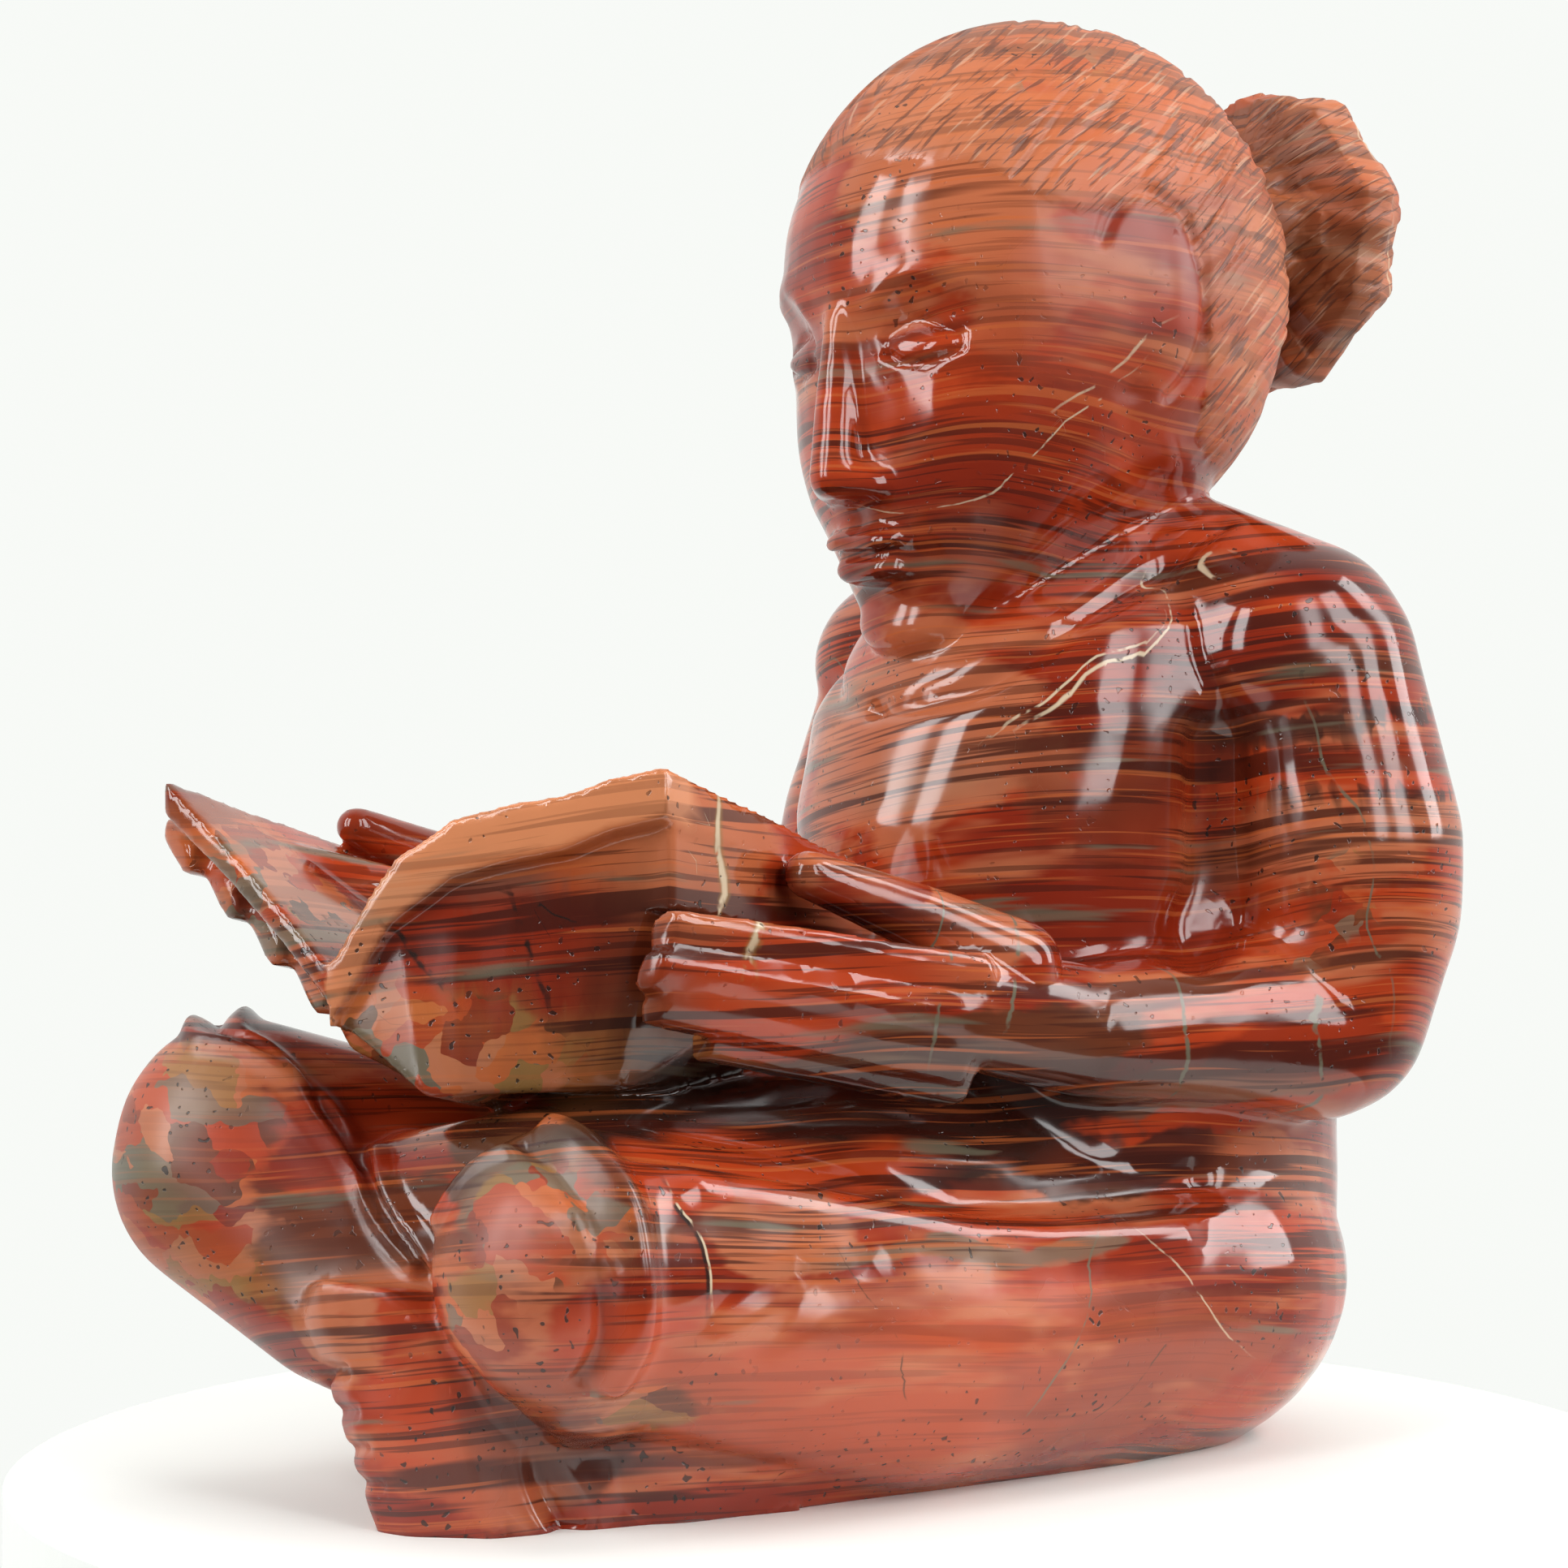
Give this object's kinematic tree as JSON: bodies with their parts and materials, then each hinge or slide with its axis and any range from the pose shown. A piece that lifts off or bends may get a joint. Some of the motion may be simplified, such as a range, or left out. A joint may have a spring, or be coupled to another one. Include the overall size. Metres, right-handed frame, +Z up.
{
  "type": "carved stone statue",
  "caption": "Carved stone statue of a girl sitting cross-legged, head bowed over an open book on her lap.",
  "frame": {"origin": "centre of the bounding box, on the ground plane under the statue", "axes": "+Z up, -Y the way the girl faces, +X her left side"},
  "size_m": [0.214, 0.38, 0.4134],
  "materials": {
    "banded_red_stone": "polished, with banding in red, dark brown and grey-green"
  },
  "bodies": {
    "root": {"reading_girl": "banded_red_stone"}
  },
  "joints": []
}
